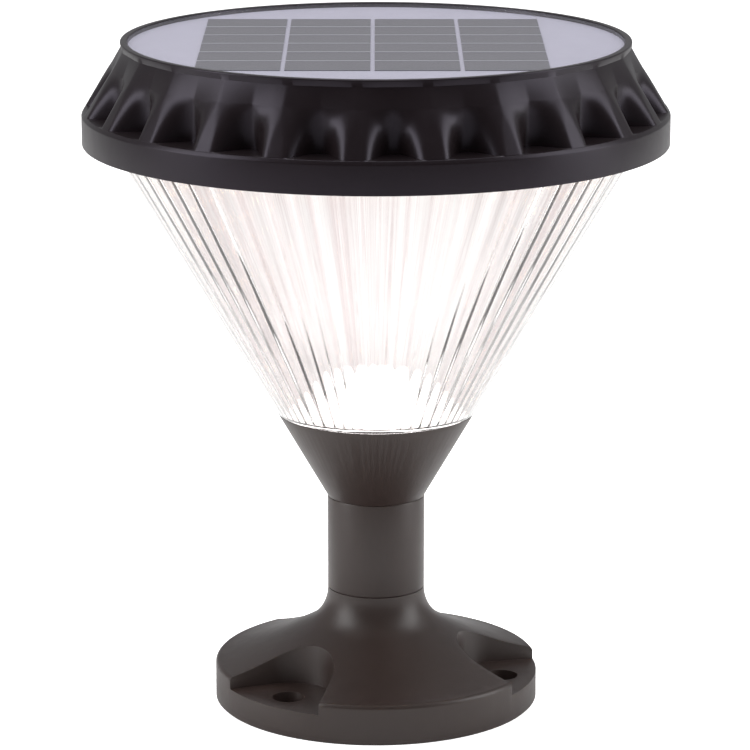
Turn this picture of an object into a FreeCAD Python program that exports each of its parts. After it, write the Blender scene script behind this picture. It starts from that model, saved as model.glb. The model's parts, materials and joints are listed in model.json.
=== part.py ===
import FreeCAD, Part
import math
import os

import Sketcher
from FreeCAD import Placement, Rotation, Vector

# Solar post light: a fluted round cap with a solar panel on top, a clear ribbed lens cone, a dark
# collar, a short neck tube and a flanged foot. Millimetres, +Z up. The origin is the centre of the
# foot's underside. Azimuths are counted from +X; the front of the light faces -Y.

SIZES = [
    # how far a cut runs past the face that it opens
    ("cut_margin", 1.0),
    # foot
    ("foot_diameter", 107.0),
    ("foot_edge_height", 11.9),
    ("foot_edge_round", 1.6),
    ("foot_lower_bevel", 0.6),
    ("foot_rim_wall", 3.5),
    ("foot_hollow_depth", 6.0),
    ("flare_outer_round", 107.0),
    ("flare_waist_radius", 22.8),
    ("flare_waist_height", 25.6),
    ("flare_inner_round", 14.0),
    ("shoulder_height", 38.0),
    ("shoulder_bevel", 0.4),
    ("foot_cavity_wall", 3.75),
    ("foot_cavity_depth", 9.0),
    ("foot_cavity_cone", 18.0),
    ("screw_edge_distance", 10.75),
    ("screw_hole_count", 3),
    ("screw_hole_diameter", 5.5),
    ("screw_head_diameter", 10.5),
    ("screw_head_depth", 5.0),
    ("screw_boss_radius", 8.5),
    ("first_screw_azimuth", -12.0),
    ("notch_floor_height", 9.3),
    ("notch_radius", 15.0),
    ("notch_spread_angle", 25.0),
    # neck
    ("neck_diameter", 32.0),
    ("neck_wall", 2.0),
    ("neck_length", 31.6),
    ("spigot_gap", 3.6),
    ("spigot_wall", 3.95),
    ("spigot_clearance", 0.05),
    # collar
    ("collar_height", 28.6),
    ("collar_top_diameter", 65.2),
    ("collar_lip", 2.6),
    ("collar_ledge_width", 6.0),
    ("collar_cup_depth", 21.2),
    ("collar_cup_step", 2.0),
    ("collar_ledge_depth", 5.0),
    ("ring_groove_height", 4.0),
    ("ring_section_radius", 1.0),
    ("gasket_thickness", 1.0),
    ("gasket_clearance", 0.2),
    ("collar_screw_count", 3),
    ("collar_screw_inset", 6.0),
    ("collar_boss_radius", 3.4),
    ("collar_boss_length", 18.0),
    # lens
    ("lens_cone_height", 92.0),
    ("lens_wall", 2.6),
    ("lens_floor", 2.0),
    ("lens_floor_hole_radius", 12.0),
    ("lens_flange_thickness", 2.0),
    ("lens_rib_count", 60),
    ("lens_rib_depth", 0.9),
    ("lens_rib_land_angle", 0.2),
    ("dome_gap", 3.2),
    ("dome_height", 12.6),
    ("dome_wall", 1.8),
    # cap
    ("cap_diameter", 190.0),
    ("band_height", 10.6),
    ("band_bevel_height", 1.2),
    ("band_wall", 2.7),
    ("band_edge_round", 0.8),
    ("ledge_width", 0.7),
    ("flute_count", 24),
    ("flute_turn", -4.0),
    ("rim_inset", 12.7),
    ("valley_inset", 11.0),
    ("valley_inset_top", 12.25),
    ("valley_height", 13.95),
    ("valley_width", 4.4),
    ("valley_mouth_width", 20.2),
    ("valley_mouth_reach_low", 13.0),
    ("valley_mouth_reach_high", 2.8),
    ("valley_wall", 2.2),
    ("rim_height", 2.27),
    ("rim_wall", 2.3),
    ("rim_round", 0.5),
    ("shell_wall_low", 7.9),
    ("shell_wall_step", 3.8),
    ("shell_bore_step", 0.2),
    ("deck_thickness", 2.0),
    ("underside_inset", 0.2),
    ("underside_ring_thickness", 1.8),
    ("underside_ring_width", 5.3),
    ("side_clearance", 0.3),
    ("ring_screw_count", 6),
    ("ring_screw_reach", 3.4),
    ("ring_screw_radius", 1.1),
    ("ring_screw_head_radius", 2.1),
    ("ring_screw_head_height", 1.2),
    # power button, on the flute at the back
    ("button_radius", 3.5),
    ("button_clearance", 0.05),
    ("button_flange_radius", 4.4),
    ("button_flange_thickness", 1.2),
    ("button_seat_inset", 10.8),
    ("button_reach", 6.2),
    ("button_boss_radius", 6.2),
    ("button_boss_reach", 4.6),
    ("button_boss_root", 3.0),
    ("button_face_round", 0.8),
    ("button_well_depth", 10.0),
    ("button_travel", 1.2),
    ("seal_section_radius", 0.6),
    ("plunger_radius", 1.7),
    ("plunger_length", 9.0),
    ("plunger_end_gap", 0.4),
    ("switch_width", 7.0),
    ("switch_depth", 8.0),
    ("switch_board_width", 11.0),
    ("board_thickness", 1.6),
    # tray, light board and what the tray carries
    ("tray_thickness", 2.0),
    ("tray_gap", 0.8),
    ("thread_end_wall", 0.4),
    ("post_radius", 3.5),
    ("post_count", 4),
    ("tray_screw_radius", 1.25),
    ("tray_screw_length", 8.0),
    ("tray_screw_head_radius", 2.8),
    ("tray_screw_head_height", 1.8),
    ("led_board_width", 21.0),
    ("led_board_gap", 2.2),
    ("led_inset", 5.0),
    ("led_count", 24),
    ("led_length", 3.5),
    ("led_width", 2.8),
    ("led_height", 0.8),
    ("small_screw_radius", 0.9),
    ("small_screw_head_radius", 1.8),
    ("small_screw_head_height", 1.2),
    ("led_screw_inset", 4.0),
    ("led_screw_count", 4),
    ("battery_diameter", 18.4),
    ("battery_length", 65.0),
    ("battery_cap_radius", 3.0),
    ("battery_cap_height", 1.0),
    ("battery_headroom", 0.4),
    ("battery_place_y", -30.0),
    ("holder_wall", 1.0),
    ("holder_height", 11.0),
    ("contact_thickness", 0.5),
    ("contact_width", 9.0),
    ("contact_height", 13.8),
    ("main_board_length", 50.0),
    ("main_board_width", 36.0),
    ("main_board_place_y", 24.0),
    ("standoff_height", 4.0),
    ("standoff_radius", 2.4),
    ("standoff_inset", 3.5),
    ("chip_length", 8.0),
    ("chip_width", 4.0),
    ("chip_height", 1.5),
    ("chip_place_x", -1.0),
    ("chip_pitch", 14.0),
    ("inductor_radius", 4.5),
    ("inductor_height", 5.5),
    ("inductor_place_x", -16.0),
    ("inductor_setback", 10.0),
    ("capacitor_radius", 3.0),
    ("capacitor_height", 8.0),
    ("capacitor_place_x", 12.0),
    ("capacitor_pitch", 8.0),
    ("capacitor_setback", 9.0),
    ("socket_length", 8.0),
    ("socket_width", 6.0),
    ("socket_height", 5.6),
    ("panel_socket_x", -12.0),
    ("battery_socket_x", 4.0),
    ("lead_radius", 0.65),
    ("lead_pitch", 2.4),
    ("lead_run", 4.0),
    ("lead_hole_radius", 3.2),
    ("led_lead_inset", 7.0),
    ("led_lead_azimuth", 25.0),
    ("panel_lead_x", -18.0),
    ("panel_lead_y", -8.0),
    ("battery_lead_y", -12.0),
    # solar panel
    ("panel_clearance", 0.2),
    ("panel_bed", 0.6),
    ("panel_bed_width", 9.0),
    ("panel_bed_inset", 1.0),
    ("panel_board", 1.6),
    ("panel_cover", 1.3),
    ("panel_recess", 0.25),
    ("cell_thickness", 0.3),
    ("cell_columns", 4),
    ("cell_width", 26.4),
    ("cell_gap", 1.4),
    ("cell_edge_gap", 0.8),
    ("cell_shift_x", -1.1),
    ("cell_shift_y", -2.7),
    ("ribbon_count", 5),
    ("ribbon_width", 0.7),
    ("ribbon_thickness", 0.1),
]

document = FreeCAD.newDocument("PostLight")
sheet = document.addObject("Spreadsheet::Sheet", "Sizes")
for row, (alias, number) in enumerate(SIZES, start=1):
    sheet.set(f"A{row}", str(number))
    sheet.setAlias(f"A{row}", alias)
document.recompute()


class Size:
    """A number together with the sheet formula that gives it."""

    def __init__(self, number, formula):
        self.number = float(number)
        self.formula = formula

    def __add__(self, other):
        other = as_size(other)
        return Size(self.number + other.number, f"({self.formula} + {other.formula})")

    def __sub__(self, other):
        other = as_size(other)
        return Size(self.number - other.number, f"({self.formula} - {other.formula})")

    def __mul__(self, other):
        other = as_size(other)
        return Size(self.number * other.number, f"({self.formula} * {other.formula})")

    def __truediv__(self, other):
        other = as_size(other)
        return Size(self.number / other.number, f"({self.formula} / {other.formula})")

    def __radd__(self, other):
        return as_size(other) + self

    def __rsub__(self, other):
        return as_size(other) - self

    def __rmul__(self, other):
        return as_size(other) * self

    def __rtruediv__(self, other):
        return as_size(other) / self

    def __neg__(self):
        return as_size(0) - self


def as_size(value):
    if isinstance(value, Size):
        return value
    return Size(value, f"({value})")


def size(alias):
    return Size(sheet.get(alias), f"Sizes.{alias}")


def cosine(angle):
    angle = as_size(angle)
    return Size(math.cos(math.radians(angle.number)), f"cos({angle.formula} * 1deg)")


def sine(angle):
    angle = as_size(angle)
    return Size(math.sin(math.radians(angle.number)), f"sin({angle.formula} * 1deg)")


def root(value):
    return Size(math.sqrt(value.number), f"sqrt({value.formula})")


def around(radius, azimuth):
    """The x and y of a place on a circle about the light's axis."""
    return radius * cosine(azimuth), radius * sine(azimuth)


ZERO = as_size(0)
margin = size("cut_margin")

# Heights and radii that several pieces share, from the foot up.
foot_radius = size("foot_diameter") / 2
screw_hole_x = foot_radius - size("screw_edge_distance")
neck_radius = size("neck_diameter") / 2
neck_bore = neck_radius - size("neck_wall")
spigot_radius = neck_bore - size("spigot_clearance")
spigot_bore = spigot_radius - size("spigot_wall")
spigot_length = (size("neck_length") - size("spigot_gap")) / 2
neck_top = size("shoulder_height") + size("neck_length")
collar_top = neck_top + size("collar_height")
collar_top_radius = size("collar_top_diameter") / 2
collar_ledge_radius = collar_top_radius - size("collar_lip") - size("collar_ledge_width")
collar_screw_circle = collar_ledge_radius - size("collar_screw_inset")
lens_top = collar_top + size("lens_cone_height")
flange_top = lens_top + size("lens_flange_thickness")
shoulder_z = flange_top + size("gasket_thickness")
ring_low = lens_top - size("underside_ring_thickness")
tray_low = shoulder_z + size("underside_inset") * 3
tray_top = tray_low + size("tray_thickness")

# The cap's heights: the battery stands between the tray and the deck.
deck_low = tray_top + size("holder_wall") + size("battery_diameter") + size("battery_headroom")
deck_top = deck_low + size("deck_thickness")
rim_top = deck_top + size("panel_bed") + size("panel_board") + size("panel_cover") + size("panel_recess")
arch_top = rim_top - size("rim_height")
band_low = ring_low - size("underside_inset")
band_top = band_low + size("band_height")
valley_high = band_top + size("valley_height")
button_height = (band_top + valley_high) / 2

# The cap's radii, from its band inwards.
cap_radius = size("cap_diameter") / 2
band_bore = cap_radius - size("band_wall")
crest_limit = cap_radius - size("ledge_width")
valley_radius = cap_radius - size("valley_inset")
rim_radius = cap_radius - size("rim_inset")
recess_radius = rim_radius - size("rim_wall")
panel_radius = recess_radius - size("panel_clearance")
shell_bore_low = cap_radius - size("shell_wall_low")
shell_bore_high = recess_radius - size("shell_bore_step")
button_seat = cap_radius - size("button_seat_inset")
fit_low_radius = band_bore - size("side_clearance")
ring_inner = fit_low_radius - size("underside_ring_width")
ring_screw_circle = fit_low_radius - size("underside_ring_width") / 2
ring_screw_length = band_top - shoulder_z + size("ring_screw_reach")
lens_radius_top = ring_inner - size("gasket_clearance")
lens_slope = (lens_radius_top - collar_top_radius) / size("lens_cone_height")
lens_bore_low = collar_top_radius + lens_slope * size("lens_floor") - size("lens_wall")
flute_pitch = 360 / size("flute_count")
valley_azimuth = 90 + flute_pitch / 2
screw_azimuth = 90 + flute_pitch

# What the tray carries.
post_circle = shell_bore_high - size("post_radius") - size("side_clearance")
led_board_outer = post_circle - size("tray_screw_head_radius") - size("led_board_gap")
led_board_inner = led_board_outer - size("led_board_width")
led_board_low = tray_low - size("board_thickness")
board_top = tray_top + size("standoff_height") + size("board_thickness")
battery_radius = size("battery_diameter") / 2
battery_axis_z = tray_top + size("holder_wall") + battery_radius
battery_button_end = size("battery_length") / 2 + size("battery_cap_height")
contact_top = tray_top + size("holder_wall") + size("contact_height")


def new_body(label):
    body = document.addObject("PartDesign::Body", label)
    body.Label = label
    return body


def new_feature(body, kind, name):
    """Adds a feature that keeps every face as it is cut, because merged flute faces don't close."""
    feature = body.newObject(f"PartDesign::{kind}", name)
    feature.Refine = False
    return feature


def origin_part(body, role):
    return next(item for item in body.Origin.OriginFeatures if item.Role == role)


def new_sketch(body, plane, height=None):
    sketch = body.newObject("Sketcher::SketchObject", "Sketch")
    sketch.AttachmentSupport = [(origin_part(body, plane), "")]
    sketch.MapMode = "FlatFace"
    if height is not None:
        sketch.AttachmentOffset = Placement(Vector(0, 0, height.number), Rotation())
        sketch.setExpression("AttachmentOffset.Base.z", height.formula)
    return sketch


def fix(sketch, kind, geometry, value, *, point=None):
    """Adds one dimension to a sketch and ties it to the sheet."""
    if point is None:
        constraint = Sketcher.Constraint(kind, geometry, value.number)
    else:
        constraint = Sketcher.Constraint(kind, -1, 1, geometry, point, value.number)
    index = sketch.addConstraint(constraint)
    sketch.setExpression(f"Constraints[{index}]", value.formula)


def arc_between(start, end, radius, side):
    """The arc from start to end whose centre is on the left (+1) or the right (-1) of the chord."""
    chord = end - start
    half = chord.Length / 2
    normal = Vector(-chord.y, chord.x, 0).normalize()
    centre = start + chord * 0.5 + normal * (side * math.sqrt(radius * radius - half * half))
    first, last = (start, end) if side > 0 else (end, start)
    angles = [math.atan2(p.y - centre.y, p.x - centre.x) for p in (first, last)]
    circle = Part.Circle(centre, Vector(0, 0, 1), radius)
    return Part.ArcOfCircle(circle, angles[0], angles[1])


def draw_outline(sketch, corners, arcs=None):
    """Draws a closed outline; arcs maps a corner's number to the radius and side of its next edge."""
    arcs = arcs or {}
    corners = [(as_size(x), as_size(y)) for x, y in corners]
    points = [Vector(x.number, y.number, 0) for x, y in corners]
    edges = []
    for index, start in enumerate(points):
        end = points[(index + 1) % len(points)]
        if index in arcs:
            radius, side = arcs[index]
            geometry = sketch.addGeometry(arc_between(start, end, radius.number, side), False)
            first, last = (1, 2) if side > 0 else (2, 1)
        else:
            geometry = sketch.addGeometry(Part.LineSegment(start, end), False)
            first, last = 1, 2
        edges.append((geometry, first, last))
    for index, (geometry, first, last) in enumerate(edges):
        following = edges[(index + 1) % len(edges)]
        sketch.addConstraint(Sketcher.Constraint("Coincident", geometry, last, following[0], following[1]))
    for (geometry, first, last), (x, y) in zip(edges, corners):
        fix(sketch, "DistanceX", geometry, x, point=first)
        fix(sketch, "DistanceY", geometry, y, point=first)
    for index, (radius, side) in arcs.items():
        fix(sketch, "Radius", edges[index][0], radius)


def draw_circle(sketch, x, y, radius):
    x, y, radius = as_size(x), as_size(y), as_size(radius)
    circle = Part.Circle(Vector(x.number, y.number, 0), Vector(0, 0, 1), radius.number)
    geometry = sketch.addGeometry(circle, False)
    fix(sketch, "DistanceX", geometry, x, point=3)
    fix(sketch, "DistanceY", geometry, y, point=3)
    fix(sketch, "Radius", geometry, radius)


def draw_rectangle(sketch, low_x, high_x, low_y, high_y):
    draw_outline(sketch, [(low_x, low_y), (high_x, low_y), (high_x, high_y), (low_x, high_y)])


def turn(body, sketch):
    """Turns an outline drawn in the XZ plane about the light's axis."""
    feature = new_feature(body, "Revolution", "Turned")
    feature.Profile = sketch
    feature.ReferenceAxis = (sketch, ["V_Axis"])
    feature.Angle = 360
    return feature


def turned(label, corners, arcs=None):
    body = new_body(label)
    sketch = new_sketch(body, "XZ_Plane")
    draw_outline(sketch, corners, arcs)
    turn(body, sketch)
    return body


def washer(label, inner, outer, low, high):
    return turned(label, [(inner, low), (outer, low), (outer, high), (inner, high)])


def pad(body, sketch, length):
    feature = new_feature(body, "Pad", "Pad")
    feature.Profile = sketch
    feature.Length = length.number
    feature.setExpression("Length", length.formula)
    return feature


def pocket(body, sketch, depth, upward=False):
    """Cuts a sketch in the XY plane downwards, or upwards; the volume must shrink."""
    document.recompute()
    before = body.Shape.Volume
    feature = new_feature(body, "Pocket", "Pocket")
    feature.Profile = sketch
    feature.Length = depth.number
    feature.setExpression("Length", depth.formula)
    feature.Reversed = upward
    document.recompute()
    if body.Shape.Volume >= before:
        raise ValueError(f"a pocket in {body.Label} removed nothing")
    return feature


def repeat(body, features, count):
    """Repeats features evenly about the light's axis."""
    pattern = new_feature(body, "PolarPattern", "Repeat")
    pattern.Originals = features
    pattern.Axis = (origin_part(body, "Z_Axis"), [""])
    pattern.Angle = 360
    pattern.Occurrences = int(count.number)
    pattern.setExpression("Occurrences", count.formula)
    body.Tip = pattern
    return pattern


def rod(body, kind, place, radius, length, direction):
    """Adds or cuts a cylinder that starts at place and runs along direction."""
    feature = new_feature(body, f"{kind}Cylinder", "Rod")
    place = [as_size(value) for value in place]
    feature.Placement = Placement(
        Vector(*[value.number for value in place]), Rotation(Vector(0, 0, 1), Vector(*direction))
    )
    for axis, value in zip("xyz", place):
        feature.setExpression(f"Placement.Base.{axis}", value.formula)
    feature.setExpression("Radius", as_size(radius).formula)
    feature.setExpression("Height", as_size(length).formula)
    return feature


def block(label, low_x, high_x, low_y, high_y, low, height):
    body = new_body(label)
    sketch = new_sketch(body, "XY_Plane", as_size(low))
    draw_rectangle(sketch, low_x, high_x, low_y, high_y)
    pad(body, sketch, as_size(height))
    return body


def screws(label, places, low, head, shank):
    """Pan-head screws that point up, heads below; head and shank are each a radius and a length."""
    body = new_body(label)
    heads = new_sketch(body, "XY_Plane", low)
    shanks = new_sketch(body, "XY_Plane", low)
    for x, y in places:
        draw_circle(heads, x, y, head[0])
        draw_circle(shanks, x, y, shank[0])
    pad(body, heads, head[1])
    pad(body, shanks, head[1] + shank[1])
    turn_with_cap(body)


def round_edges(body, radius, test):
    """Rounds the edges of a body's last feature that pass the test."""
    document.recompute()
    base = body.Tip
    names = [f"Edge{n}" for n, edge in enumerate(base.Shape.Edges, start=1) if test(edge)]
    feature = new_feature(body, "Fillet", "Rounding")
    feature.Base = (base, names)
    feature.Radius = radius.number
    feature.setExpression("Radius", radius.formula)
    return feature


def circle_at(radius, height):
    """A test for the circular edges of one radius and height about the light's axis."""

    def test(edge):
        curve = edge.Curve
        if not isinstance(curve, Part.Circle):
            return False
        near_axis = math.hypot(curve.Center.x, curve.Center.y) < 0.01
        same_radius = abs(curve.Radius - radius.number) < 0.01
        return near_axis and same_radius and abs(curve.Center.z - height.number) < 0.01

    return test


def turn_with_cap(body):
    """Turns a piece of the head so that it lines up with the cap's flutes."""
    body.setExpression("Placement.Rotation.Angle", "Sizes.flute_turn")


# ---------------------------------------------------------------- foot and neck


def make_foot():
    radius = foot_radius
    bevel = size("foot_lower_bevel")
    edge_round = size("foot_edge_round")
    cavity = screw_hole_x - size("notch_radius") - size("foot_cavity_wall")
    cavity_top = size("foot_cavity_depth")
    rim_inner = radius - size("foot_rim_wall")
    hollow_top = size("foot_hollow_depth")
    corners = [
        (rim_inner, ZERO),
        (radius - bevel, ZERO),
        (radius, bevel),
        (radius, size("foot_edge_height")),
        (radius - edge_round, size("foot_edge_height") + edge_round),
        (size("flare_waist_radius"), size("flare_waist_height")),
        (neck_radius, size("shoulder_height") - size("shoulder_bevel")),
        (neck_radius, size("shoulder_height")),
        (spigot_radius, size("shoulder_height")),
        (spigot_radius, size("shoulder_height") + spigot_length),
        (spigot_bore, size("shoulder_height") + spigot_length),
        (spigot_bore, cavity_top + size("foot_cavity_cone")),
        (cavity, cavity_top),
        (cavity, hollow_top),
        (rim_inner, hollow_top),
    ]
    arcs = {
        3: (edge_round, 1),
        4: (size("flare_outer_round"), -1),
        5: (size("flare_inner_round"), -1),
    }
    body = turned("foot_flange", corners, arcs)
    bosses = new_sketch(body, "XY_Plane", ZERO)
    draw_circle(bosses, screw_hole_x, ZERO, size("screw_boss_radius"))
    boss = pad(body, bosses, hollow_top + bevel)
    spread = size("notch_spread_angle")
    wall_x = screw_hole_x - size("notch_radius") * sine(spread)
    wall_y = size("notch_radius") * cosine(spread)
    mouth_x = radius + margin
    mouth_y = wall_y + (mouth_x - wall_x) * sine(spread) / cosine(spread)
    notch = new_sketch(body, "XY_Plane", size("notch_floor_height"))
    draw_outline(
        notch,
        [(wall_x, -wall_y), (mouth_x, -mouth_y), (mouth_x, mouth_y), (wall_x, wall_y)],
        {3: (size("notch_radius"), 1)},
    )
    notch_cut = pocket(body, notch, size("shoulder_height"), upward=True)
    head = new_sketch(body, "XY_Plane", size("notch_floor_height"))
    draw_circle(head, screw_hole_x, ZERO, size("screw_head_diameter") / 2)
    head_cut = pocket(body, head, size("screw_head_depth"))
    hole = new_sketch(body, "XY_Plane", size("notch_floor_height"))
    draw_circle(hole, screw_hole_x, ZERO, size("screw_hole_diameter") / 2)
    hole_cut = pocket(body, hole, size("notch_floor_height") + margin)
    repeat(body, [boss, notch_cut, head_cut, hole_cut], size("screw_hole_count"))
    body.setExpression("Placement.Rotation.Angle", "Sizes.first_screw_azimuth")


def make_neck():
    washer("neck_tube", neck_bore, neck_radius, size("shoulder_height"), neck_top)


# ---------------------------------------------------------------- collar


def evenly(first, count):
    """Azimuths spaced evenly round the light, from the first."""
    return [first + 360 / count * n for n in range(int(count.number))]


def collar_screw_azimuths():
    return evenly(90, size("collar_screw_count"))


def make_collar():
    bore = spigot_bore
    spigot_low = neck_top - spigot_length
    ring = size("ring_section_radius")
    groove_low = spigot_low + size("ring_groove_height")
    groove_high = groove_low + ring * 2 + size("gasket_clearance")
    groove_floor = spigot_radius - ring * 2
    ledge = collar_top - size("gasket_thickness")
    cup_low = collar_top - size("collar_cup_depth")
    corners = [
        (bore, spigot_low),
        (spigot_radius, spigot_low),
        (spigot_radius, groove_low),
        (groove_floor, groove_low),
        (groove_floor, groove_high),
        (spigot_radius, groove_high),
        (spigot_radius, neck_top),
        (neck_radius, neck_top),
        (collar_top_radius, collar_top),
        (collar_top_radius - size("collar_lip"), collar_top),
        (collar_top_radius - size("collar_lip"), ledge),
        (collar_ledge_radius, ledge),
        (collar_ledge_radius, ledge - size("collar_ledge_depth")),
        (bore + size("collar_cup_step"), cup_low),
        (bore, cup_low),
    ]
    body = turned("collar", corners)
    boss_x, boss_y = around(collar_screw_circle, collar_screw_azimuths()[0])
    bosses = new_sketch(body, "XY_Plane", collar_top - size("collar_boss_length"))
    draw_circle(bosses, boss_x, boss_y, size("collar_boss_radius"))
    boss = pad(body, bosses, size("collar_boss_length"))
    holes = new_sketch(body, "XY_Plane", collar_top)
    draw_circle(holes, boss_x, boss_y, size("tray_screw_radius"))
    hole = pocket(body, holes, size("tray_screw_length"))
    repeat(body, [boss, hole], size("collar_screw_count"))
    turn_with_cap(body)

    seal = document.addObject("Part::Torus", "neck_seal_ring")
    seal.Label = "neck_seal_ring"
    seal.setExpression("Radius1", (spigot_radius - ring).formula)
    seal.setExpression("Radius2", ring.formula)
    seal.setExpression("Placement.Base.z", ((groove_low + groove_high) / 2).formula)

    clearance = size("gasket_clearance")
    washer(
        "collar_gasket",
        collar_ledge_radius + clearance,
        collar_top_radius - size("collar_lip") - clearance,
        ledge,
        collar_top,
    )
    floor_top = collar_top + size("lens_floor")
    places = [around(collar_screw_circle, azimuth) for azimuth in collar_screw_azimuths()]
    body = new_body("collar_screws")
    heads = new_sketch(body, "XY_Plane", floor_top)
    shanks = new_sketch(body, "XY_Plane", collar_top - size("tray_screw_length"))
    for x, y in places:
        draw_circle(heads, x, y, size("tray_screw_head_radius"))
        draw_circle(shanks, x, y, size("tray_screw_radius"))
    pad(body, heads, size("tray_screw_head_height"))
    pad(body, shanks, size("tray_screw_length") + size("lens_floor") + size("tray_screw_head_height"))
    turn_with_cap(body)


# ---------------------------------------------------------------- lens


def make_lens():
    wall = size("lens_wall")
    floor_top = collar_top + size("lens_floor")
    bore_high = lens_bore_low + lens_slope * (flange_top - floor_top)
    corners = [
        (size("lens_floor_hole_radius"), collar_top),
        (collar_top_radius, collar_top),
        (lens_radius_top, lens_top),
        (fit_low_radius, lens_top),
        (fit_low_radius, flange_top),
        (bore_high, flange_top),
        (lens_bore_low, floor_top),
        (size("lens_floor_hole_radius"), floor_top),
    ]
    body = turned("lens", corners)
    half_pitch = 180 / size("lens_rib_count") - size("lens_rib_land_angle") / 2
    sections = []
    for height, bore in ((floor_top, lens_bore_low), (flange_top, bore_high)):
        section = new_sketch(body, "XY_Plane", height)
        side_x, side_y = around(bore, half_pitch)
        inside = bore - wall / 2
        peak = bore + size("lens_rib_depth")
        corners = [(inside, -side_y), (side_x, -side_y), (peak, ZERO), (side_x, side_y), (inside, side_y)]
        draw_outline(section, corners)
        sections.append(section)
    groove = new_feature(body, "SubtractiveLoft", "RibGroove")
    groove.Profile = sections[0]
    groove.Sections = [(sections[1], [""])]
    groove.Ruled = True
    repeat(body, [groove], size("lens_rib_count"))
    holes = new_sketch(body, "XY_Plane", floor_top)
    for azimuth in collar_screw_azimuths():
        x, y = around(collar_screw_circle, azimuth)
        draw_circle(holes, x, y, size("tray_screw_radius") + size("side_clearance"))
    pocket(body, holes, size("lens_floor") + margin)
    flange_holes = new_sketch(body, "XY_Plane", flange_top)
    x, y = around(ring_screw_circle, screw_azimuth)
    draw_circle(flange_holes, x, y, size("ring_screw_radius") + size("side_clearance"))
    flange_hole = pocket(body, flange_holes, size("lens_flange_thickness") + margin)
    repeat(body, [flange_hole], size("ring_screw_count"))
    turn_with_cap(body)


def make_dome():
    low = collar_top + size("lens_floor")
    radius = lens_bore_low - size("dome_gap")
    height = size("dome_height")
    wall = size("dome_wall")
    outer_round = (radius * radius + height * height) / (2 * height)
    inner_radius = radius - wall
    inner_height = height - wall
    inner_round = (inner_radius * inner_radius + inner_height * inner_height) / (2 * inner_height)
    corners = [
        (inner_radius, low),
        (radius, low),
        (ZERO, low + height),
        (ZERO, low + inner_height),
    ]
    turned("reflector_dome", corners, {1: (outer_round, 1), 3: (inner_round, -1)})


# ---------------------------------------------------------------- cap


def valley_section(body, height, floor, mouth):
    """One four-sided section of the cut between two flutes, wide at its mouth outside the cap."""
    half_floor = size("valley_width") / 2
    half_mouth = size("valley_mouth_width") / 2
    corners = []
    for reach, offset in (
        (floor, half_floor),
        (mouth, half_mouth),
        (mouth, ZERO - half_mouth),
        (floor, ZERO - half_floor),
    ):
        x = reach * cosine(valley_azimuth) - offset * sine(valley_azimuth)
        y = reach * sine(valley_azimuth) + offset * cosine(valley_azimuth)
        corners.append((x, y))
    sketch = new_sketch(body, "XY_Plane", height)
    draw_outline(sketch, corners)
    return sketch


def post_azimuths():
    return evenly(45, size("post_count"))


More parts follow.
